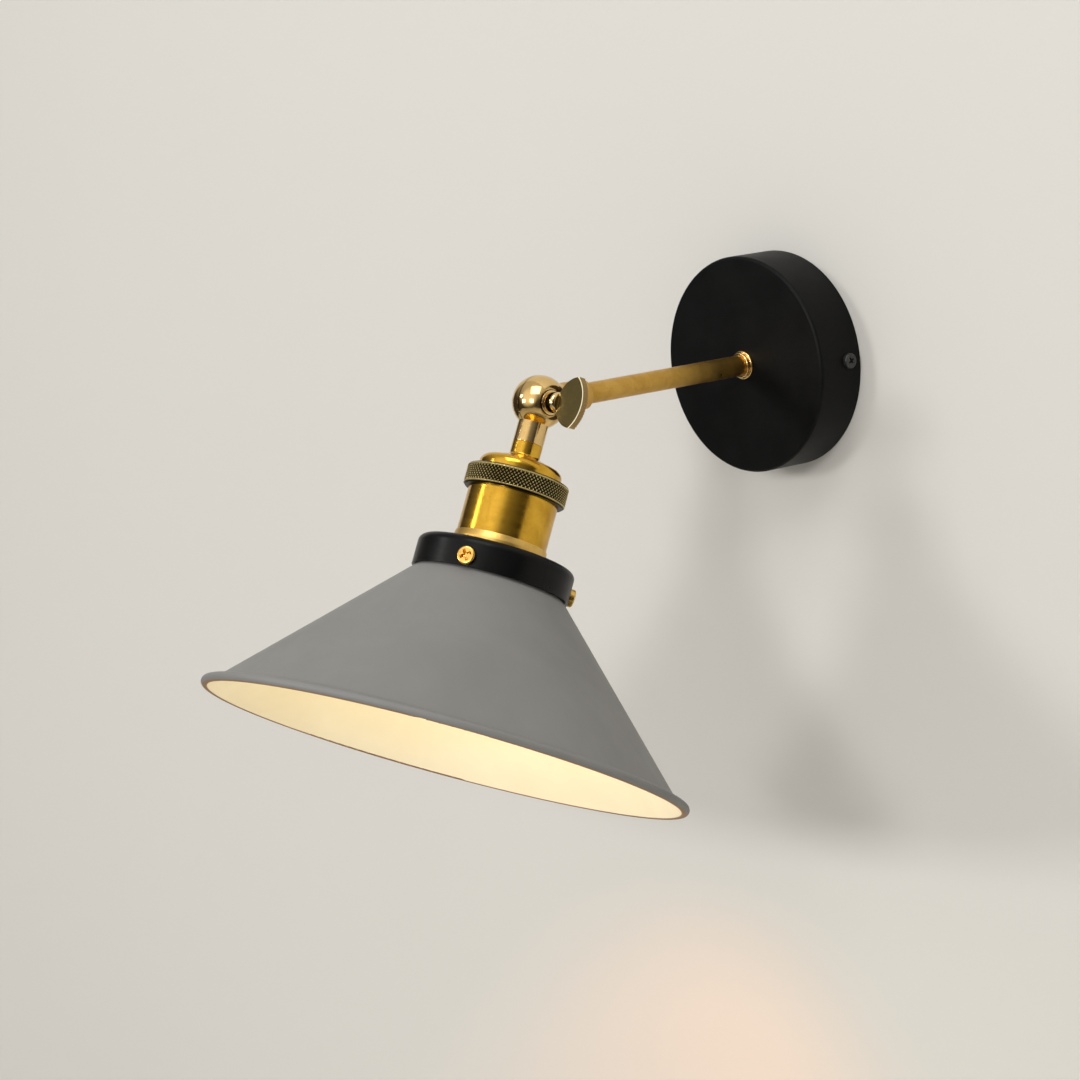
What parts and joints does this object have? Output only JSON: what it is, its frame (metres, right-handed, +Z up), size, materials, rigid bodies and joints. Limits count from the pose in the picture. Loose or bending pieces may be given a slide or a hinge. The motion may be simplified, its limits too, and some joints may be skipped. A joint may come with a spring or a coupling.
{
  "type": "wall reading lamp",
  "caption": "Wall reading lamp: round wall cup, straight arm, ball knuckle with a thumb key, and a tilting wide cone shade on a screw-bulb holder.",
  "frame": {"origin": "on the wall plane at the centre of the wall cup's open back", "axes": "+Z up along the wall, +X right along the wall seen from the room, -Y out of the wall along the arm"},
  "size_m": [0.217, 0.3181, 0.2401],
  "materials": {
    "black_powder": "matte black powder coat",
    "black_screw": "blackened steel",
    "satin_brass": "satin brass",
    "polished_brass": "polished pale brass",
    "key_brass": "dull brass with a bright edge",
    "golden_brass": "golden lacquered brass",
    "aged_brass": "diamond-knurled aged brass",
    "screw_brass": "plain brass",
    "contact_brass": "bare brass sheet",
    "zinc_steel": "zinc-plated steel",
    "white_porcelain": "unglazed porcelain",
    "ivory_nylon": "ivory nylon",
    "grey_enamel": "matte warm grey outside, cream white inside",
    "solder": "soldered contact",
    "bulb_cap_metal": "rolled screw cap",
    "white_collar": "white plastic",
    "opal_glass": "warm opal, lit"
  },
  "bodies": {
    "wall_side": {"wall_bracket": "zinc_steel", "earth_screw": "screw_brass", "terminal_block": "ivory_nylon", "terminal_screws": "zinc_steel", "canopy": "black_powder", "canopy_screws": "black_screw", "arm_collar": "polished_brass", "arm_tube": "satin_brass", "lock_washer": "zinc_steel", "arm_lock_nut": "zinc_steel", "knuckle_arm_half": "polished_brass"},
    "key_washer": {"thumb_washer": "polished_brass"},
    "thumb_key": {"thumb_screw": "key_brass"},
    "head": {"knuckle_head_half": "polished_brass", "head_nipple": "zinc_steel", "holder_cap": "golden_brass", "knurled_collar": "aged_brass", "holder_body": "golden_brass", "upper_shade_ring": "golden_brass", "lower_shade_ring": "golden_brass", "holder_core": "white_porcelain", "thread_shell": "contact_brass", "centre_contact": "contact_brass", "shade_gallery": "black_powder", "gallery_screws": "screw_brass", "shade": "grey_enamel"},
    "bulb_foot": {"bulb_tip": "solder"},
    "bulb": {"bulb_cap": "bulb_cap_metal", "bulb_collar": "white_collar", "bulb_globe": "opal_glass"}
  },
  "joints": [
    {"name": "head_tilt", "type": "hinge", "parent": "wall_side", "child": "head", "pos_m": [0, -0.15, 0], "axis": [1, 0, 0], "range_deg": [-63, 42]},
    {"name": "key_travel", "type": "slide", "parent": "wall_side", "child": "key_washer", "axis": [1, 0, 0], "range_m": [0, 0.0016]},
    {"name": "key_turn", "type": "hinge", "parent": "key_washer", "child": "thumb_key", "pos_m": [0, -0.15, 0], "axis": [1, 0, 0], "range_deg": [0, 720]},
    {"name": "bulb_travel", "type": "slide", "parent": "head", "child": "bulb_foot", "axis": [0, -0.454, -0.891], "range_m": [0, 0.01089]},
    {"name": "bulb_turn", "type": "hinge", "parent": "bulb_foot", "child": "bulb", "pos_m": [0, -0.15, 0], "axis": [0, -0.454, -0.891], "range_deg": [0, 1080]}
  ],
  "couplings": [
    {"joint": "key_turn", "follows": "key_travel", "rad_per_m": 7853.9},
    {"joint": "bulb_turn", "follows": "bulb_travel", "rad_per_m": 1730.9}
  ]
}
